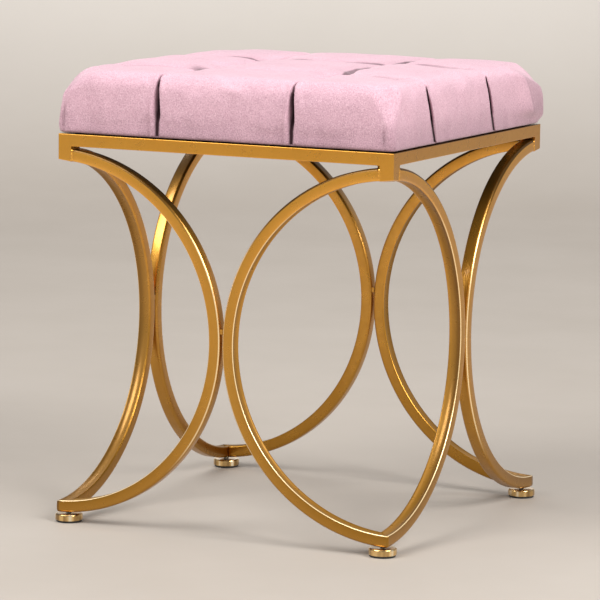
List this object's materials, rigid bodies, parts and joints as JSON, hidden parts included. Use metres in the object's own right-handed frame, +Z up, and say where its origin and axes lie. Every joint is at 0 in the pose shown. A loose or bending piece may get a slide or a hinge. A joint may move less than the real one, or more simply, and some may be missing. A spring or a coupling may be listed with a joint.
{
  "type": "footstool ottoman",
  "caption": "Square ottoman stool: biscuit-tufted velvet seat on a gold tube frame whose sides are back-to-back half circles, standing on screw-in levelling feet.",
  "frame": {"origin": "on the floor under the middle of the seat", "axes": "+Z up, -Y out of the front side, +X to the right"},
  "size_m": [0.411, 0.411, 0.5],
  "materials": {
    "gold_paint": "satin",
    "zinc_steel": "satin",
    "foot_sole": "matte",
    "velvet": "matte",
    "foam": "matte",
    "wadding": "matte",
    "dust_cloth": "matte",
    "plywood": "matte",
    "twine": "matte"
  },
  "bodies": {
    "frame_and_seat": {"corner_post_bl": "gold_paint", "corner_post_br": "gold_paint", "corner_post_fl": "gold_paint", "corner_post_fr": "gold_paint", "dust_cover": "dust_cloth", "foot_inserts": "zinc_steel", "leg_back_by_left": "gold_paint", "leg_back_by_right": "gold_paint", "leg_front_by_left": "gold_paint", "leg_front_by_right": "gold_paint", "leg_left_by_back": "gold_paint", "leg_left_by_front": "gold_paint", "leg_right_by_back": "gold_paint", "leg_right_by_front": "gold_paint", "mid_welds": "gold_paint", "post_welds": "gold_paint", "rail_back": "gold_paint", "rail_front": "gold_paint", "rail_left": "gold_paint", "rail_right": "gold_paint", "seat_board": "plywood", "seat_bolts": "zinc_steel", "seat_cover": "velvet", "seat_foam": "foam", "seat_tabs": "gold_paint", "seat_tee_nuts": "zinc_steel", "seat_wadding": "wadding", "seat_washers": "zinc_steel", "staples": "zinc_steel", "tuft_discs": "foot_sole", "tuft_twine": "twine"},
    "foot_sole_fl": {"foot_pad_fl": "foot_sole"},
    "foot_screw_fl": {"foot_cup_fl": "gold_paint", "foot_stud_fl": "zinc_steel"},
    "foot_sole_fr": {"foot_pad_fr": "foot_sole"},
    "foot_screw_fr": {"foot_cup_fr": "gold_paint", "foot_stud_fr": "zinc_steel"},
    "foot_sole_br": {"foot_pad_br": "foot_sole"},
    "foot_screw_br": {"foot_cup_br": "gold_paint", "foot_stud_br": "zinc_steel"},
    "foot_sole_bl": {"foot_pad_bl": "foot_sole"},
    "foot_screw_bl": {"foot_cup_bl": "gold_paint", "foot_stud_bl": "zinc_steel"}
  },
  "joints": [
    {"name": "foot_height_fl", "type": "slide", "parent": "frame_and_seat", "child": "foot_sole_fl", "axis": [0, 0, -1], "range_m": [-0.001, 0.006]},
    {"name": "foot_turn_fl", "type": "hinge", "parent": "foot_sole_fl", "child": "foot_screw_fl", "pos_m": [-0.1902, -0.1902, 0], "axis": [0, 0, -1], "range_deg": [-361, 2161]},
    {"name": "foot_height_fr", "type": "slide", "parent": "frame_and_seat", "child": "foot_sole_fr", "axis": [0, 0, -1], "range_m": [-0.001, 0.006]},
    {"name": "foot_turn_fr", "type": "hinge", "parent": "foot_sole_fr", "child": "foot_screw_fr", "pos_m": [0.1902, -0.1902, 0], "axis": [0, 0, -1], "range_deg": [-361, 2161]},
    {"name": "foot_height_br", "type": "slide", "parent": "frame_and_seat", "child": "foot_sole_br", "axis": [0, 0, -1], "range_m": [-0.001, 0.006]},
    {"name": "foot_turn_br", "type": "hinge", "parent": "foot_sole_br", "child": "foot_screw_br", "pos_m": [0.1902, 0.1902, 0], "axis": [0, 0, -1], "range_deg": [-361, 2161]},
    {"name": "foot_height_bl", "type": "slide", "parent": "frame_and_seat", "child": "foot_sole_bl", "axis": [0, 0, -1], "range_m": [-0.001, 0.006]},
    {"name": "foot_turn_bl", "type": "hinge", "parent": "foot_sole_bl", "child": "foot_screw_bl", "pos_m": [-0.1902, 0.1902, 0], "axis": [0, 0, -1], "range_deg": [-361, 2161]}
  ],
  "couplings": [
    {"joint": "foot_turn_fl", "follows": "foot_height_fl", "rad_per_m": 6283.2},
    {"joint": "foot_turn_fr", "follows": "foot_height_fr", "rad_per_m": 6283.2},
    {"joint": "foot_turn_br", "follows": "foot_height_br", "rad_per_m": 6283.2},
    {"joint": "foot_turn_bl", "follows": "foot_height_bl", "rad_per_m": 6283.2}
  ]
}
